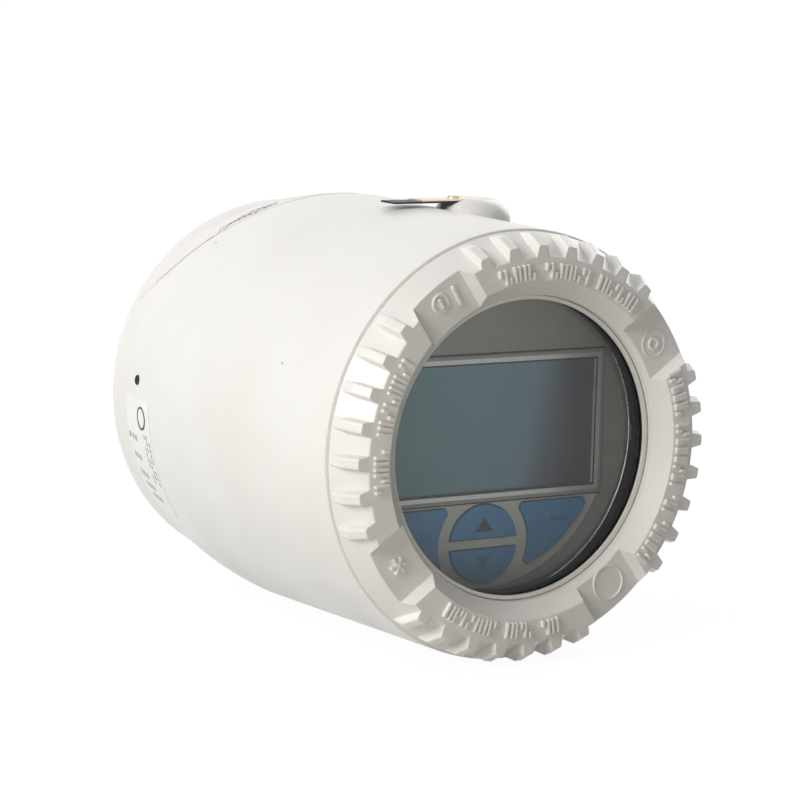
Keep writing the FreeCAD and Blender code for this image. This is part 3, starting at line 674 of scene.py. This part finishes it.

# Print on the nameplate: a field of short bars and some dashes, in grey and dark ink. A row of dark bars
# along its near edge is painted shadow of that edge. Each is a film so thin that only its colour shows.
# Places are lengths along the housing, and angles are degrees round its axis.
print_thick = 0.06 * mm
field_size = (0.55 * mm, 1.25 * mm)
field_start = 36.9 * mm
field_row = 1.1 * mm
field_angle = 106.0
field_row_turn = 1.3
field_bar_turn = 1.6
dash_size = (0.4 * mm, 1.9 * mm)
dash_spots = ((40.6, 118.6), (41.6, 119.8), (43.0, 120.6), (43.8, 122.4), (41.0, 122.8), (42.2, 124.6))
edge_shadow_size = (1.2 * mm, 0.42 * mm)
edge_shadow_bars = 16
edge_shadow_angle = 126.8
edge_shadow_turn = 1.15
edge_shadow_taper = 0.045
edge_shadow_inset = 0.5 * mm
edge_shadow_margin = 1 * mm
edge_shadow_tries = 4
shoulder_radius = 50 * mm
outside_radius = 80 * mm
grey_ink = printing_ink("printing ink, grey", "#77746F", 0.5)
pale_ink = printing_ink("printing ink, pale grey", "#B4B1AE", 0.5)
dark_ink_and_shadow = printing_ink("printing ink and painted shadow, dark grey", "#46433F", 0.5)


def on_surface(sheet, place, angle):
    """Place on a sheet, or None off it. Its first axis runs along the housing, its third outwards."""
    out = Vector((math.cos(math.radians(angle)), 0, math.sin(math.radians(angle))))
    start = axis_line + Vector((0, place, 0)) + out * outside_radius
    hit, spot, normal, _ = sheet.ray_cast(start, -out)
    if not hit:
        return None
    lengthwise = (Vector((0, 1, 0)) - normal * normal.y).normalized()
    turn = Matrix((lengthwise, normal.cross(lengthwise), normal)).transposed().to_4x4()
    return Matrix.Translation(spot) @ turn


def print_bars(size, places):
    """Printed bars of one size at those places that are on a sheet. Size is along and across."""
    bar = plain_block((*size, print_thick), (0, 0, 0), print_thick / 8)
    return copies_at(bar, [place for place in places if place])


field = print_bars(field_size, [
    on_surface(plate, field_start + field_row * row,
               field_angle + field_row_turn * row + field_bar_turn * bar)
    for row in range(6) for bar in range(6) if (row + 2 * bar) % 7])
finish_piece(join_all(field), "nameplate_field", grey_ink, "housing")
dash_and_shadow_bars = print_bars(dash_size, [on_surface(plate, spot * mm, angle) for spot, angle in dash_spots])
# Painted shadow: dark bars just inside the plate's near edge stand for the shadow of that edge.
edge_shadow_places = []
for step in range(edge_shadow_bars):
    angle = edge_shadow_angle + edge_shadow_turn * step
    height = shoulder_radius * math.sin(math.radians(angle))
    place = min(plate_edge - axis_height - height, plate_high.y - edge_shadow_margin)
    for _ in range(edge_shadow_tries):
        spot = on_surface(plate, place, angle).to_translation()
        place -= spot.y + spot.z - plate_edge - edge_shadow_inset
    slope = math.atan2(1.0, -math.cos(math.radians(angle)))
    thinner = Matrix.Diagonal((1.0, 1.0 - edge_shadow_taper * step, 1.0, 1.0))
    edge_shadow_places.append(on_surface(plate, place, angle) @ Matrix.Rotation(slope, 4, "Z") @ thinner)
dash_and_shadow_bars += print_bars(edge_shadow_size, edge_shadow_places)
finish_piece(join_all(dash_and_shadow_bars), "nameplate_print_and_edge_shadow", dark_ink_and_shadow, "housing")

# Sticker: white polyester film with a satin face, glued to the left rear flank.
# As with the nameplate, a thin sheet stands in for its solid.
film, tree, shader, place = new_finish("polyester film, satin white", IOR=1.5, Roughness=0.35)
tree.links.new(patches(tree, place, 10 * mm, "#F6F4F2", "#F1EFEC"), shader.inputs["Base Color"])
grain_bump(tree, shader, place, 0.6 * mm, depth=0.005 * mm, strength=0.1)
label_low, label_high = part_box("side_label")
label_middle = (label_low + label_high) / 2
sticker = pressed_on((label_high.z - label_low.z, label_high.y - label_low.y),
                     (label_low.x - sheet_start, label_middle.y, label_middle.z),
                     (0, -math.pi / 2, 0), "X", True)
finish_sheet(sticker, "side_label_film", film, "side_label")

# Print on the sticker: a ring, five small fields of bars and three broken lines that run downwards.
# It is in dark, pale and grey ink, in films as thin as those on the nameplate.
ring_radius = 2.9 * mm
ring_stroke = 0.3 * mm
ring_steps = 48
ring_spot = (40.4 * mm, 184.4)
ring_flatness = 0.35
block_size = (1.9 * mm, 1.7 * mm)
block_gap = 2.7
block_spots = ((49.6, 191.3), (49.2, 197.2), (48.0, 202.7), (46.4, 206.4), (44.4, 209.6))
line_size = (0.5 * mm, 1.25 * mm)
line_spots = (35.9, 37.5, 39.2)
line_angle = 189.6
line_turn = 1.7
label_ring = ring(ring_radius, ring_stroke, ring_steps, (0, 0, 0))
label_ring.matrix_world = (on_surface(sticker, *ring_spot) @ Matrix.Diagonal((1, 1, ring_flatness, 1))
                           @ Matrix.Rotation(math.pi / 2, 4, "X"))
finish_piece(label_ring, "side_label_ring", dark_ink_and_shadow, "housing")
fields = print_bars(block_size, [
    on_surface(sticker, (spot + block_gap * step) * mm, angle)
    for spot, angle in block_spots for step in (-1, 0, 1)])
finish_piece(join_all(fields), "side_label_fields", pale_ink, "housing")
lines = print_bars(line_size, [
    on_surface(sticker, spot * mm, line_angle + line_turn * step)
    for spot in line_spots for step in range(9) if (step + int(spot)) % 5])
finish_piece(join_all(lines), "side_label_lines", grey_ink, "housing")

# Pin: a rivet moulded from black polyamide, pressed into its hole above the sticker.
# It is so matt that hardly a highlight shows on it.
dress(moulding("polyamide rivet, moulded black", "#080809", "#050506", 0.8, 0.3 * mm), "tag_pin")

# Studio: a white tent that is bright above and behind, round a floor of white paper. To the eye, to
# metal and to glass both are white, and the cloth's own level lights the object. What the polished
# glass mirrors of the floor is darker, towards the right more so: painted shadow of the object on the floor.
bright_side = Vector((-0.2, 0.72, 0.65)).normalized()
bright_facing = 0.45
tent_dim = 0.02
tent_bright = 0.75
floor_size = 40.0
floor_glow = 1.05
floor_glow_share = 0.9
dim_way = Vector((0.776, 0.630, 0.0))
dim_middle = dim_way.dot(Vector((38.0, -132.0, 0.0))) * mm
dim_half = 120 * mm
dim_least = 0.2
dim_most = 0.7


def seen_rays(tree):
    """Light paths, and 1 for a ray of the eye, of a reflection or through glass, else 0."""
    paths = add_node(tree, "ShaderNodeLightPath").outputs
    seen = paths["Is Camera Ray"]
    for other in ("Is Glossy Ray", "Is Transmission Ray"):
        either = add_node(tree, "ShaderNodeMath", {0: seen, 1: paths[other]}, operation="MAXIMUM")
        seen = either.outputs["Value"]
    return paths, seen


world = bpy.data.worlds.new("studio")
bpy.context.scene.world = world
world.use_nodes = True
tent = world.node_tree
light = tent.nodes["Background"]
light.inputs["Color"].default_value = linear("#FFFFFF")
way = add_node(tent, "ShaderNodeTexCoord").outputs["Generated"]
facing = add_node(tent, "ShaderNodeVectorMath", {0: way, 1: bright_side}, operation="DOT_PRODUCT")
cloth = add_node(tent, "ShaderNodeMapRange", {
    "Value": facing.outputs["Value"], "From Min": 0.0, "From Max": bright_facing,
    "To Min": tent_dim, "To Max": tent_bright})
paths, seen = seen_rays(tent)
level = add_node(tent, "ShaderNodeMix", {"Factor": seen, "A": cloth.outputs["Result"], "B": 1.0})
tent.links.new(level.outputs["Result"], light.inputs["Strength"])

clear_selection()
bpy.ops.mesh.primitive_plane_add(size=floor_size, location=(0, 0, 0))
floor = bpy.context.object
floor.name = "floor"
paper, tree, shader, place = new_finish("matt white paper", Roughness=0.9)
paths, seen = seen_rays(tree)
paper_colour = add_node(tree, "ShaderNodeMix", {
    "Factor": seen, mix_first: linear("#B0B0AE"), mix_second: linear("#F4F3F1")}, data_type="RGBA")
tree.links.new(paper_colour.outputs[mix_result], shader.inputs["Base Color"])
glow = add_node(tree, "ShaderNodeEmission", {"Color": linear("#FFFFFF"), "Strength": floor_glow})
share = add_node(tree, "ShaderNodeMath", {0: seen, 1: floor_glow_share}, operation="MULTIPLY")
both = add_node(tree, "ShaderNodeMixShader", {
    0: share.outputs["Value"], 1: shader.outputs["BSDF"], 2: glow.outputs["Emission"]})
# Painted shadow: the floor seen in the glass darkens towards the right.
dim = along(tree, place, dim_way, dim_middle - dim_half, dim_middle + dim_half, dim_least, dim_most)
mirrored = add_node(tree, "ShaderNodeMath", {0: paths["Is Singular Ray"], 1: dim}, operation="MULTIPLY")
shade = add_node(tree, "ShaderNodeBsdfDiffuse", {"Color": linear("#1A1A1A")})
both = add_node(tree, "ShaderNodeMixShader", {
    0: mirrored.outputs["Value"], 1: both.outputs["Shader"], 2: shade.outputs["BSDF"]})
tree.links.new(both.outputs["Shader"], tree.nodes["Material Output"].inputs["Surface"])
floor.data.materials.append(paper)


# Lamps: a wide one from the left and a weaker one from behind on the right, both far away.
# A soft warm ball of light low in front fills the shadows, and no reflection shows it.
def new_lamp(name, kind, strength):
    """Lamp, and the object that holds it."""
    lamp = bpy.data.lights.new(name, kind)
    lamp.energy = strength
    holder = bpy.data.objects.new(name, lamp)
    bpy.context.scene.collection.objects.link(holder)
    return lamp, holder


def far_lamp(name, strength, spread, travel):
    """Wide lamp far away. Its light travels along a direction."""
    lamp, holder = new_lamp(name, "SUN", strength)
    lamp.angle = math.radians(spread)
    holder.rotation_euler = Vector(travel).to_track_quat("-Z", "Y").to_euler()


far_lamp("key", strength=1.8, spread=30, travel=(0.89, 0.16, -0.38))
far_lamp("rear", strength=0.8, spread=40, travel=(-0.8, -0.42, -0.42))
fill, fill_holder = new_lamp("low_fill", "POINT", 0.24)
fill.shadow_soft_size = 50 * mm
fill.color = linear("#FFF1DE")[:3]
fill_holder.location = Vector((-110, -190, 8)) * mm
fill_holder.visible_camera = False
fill_holder.visible_glossy = False

# Camera: a long lens at the photograph's viewing angle, looking slightly down from the left.
# It has a slight roll.
camera_roll = math.radians(1.53)
camera = bpy.data.cameras.new("camera")
camera.sensor_width = 36.0
camera.lens = 130.16
eye = bpy.data.objects.new("camera", camera)
bpy.context.scene.collection.objects.link(eye)
eye.location = Vector((-398.2, -640.8, 171.7)) * mm
aim = Vector((0.52318, 0.83893, -0.14994))
eye.rotation_euler = (aim.to_track_quat("-Z", "Y") @ Quaternion((0, 0, 1), camera_roll)).to_euler()
bpy.context.scene.camera = eye
bpy.context.scene.view_settings.view_transform = "Standard"
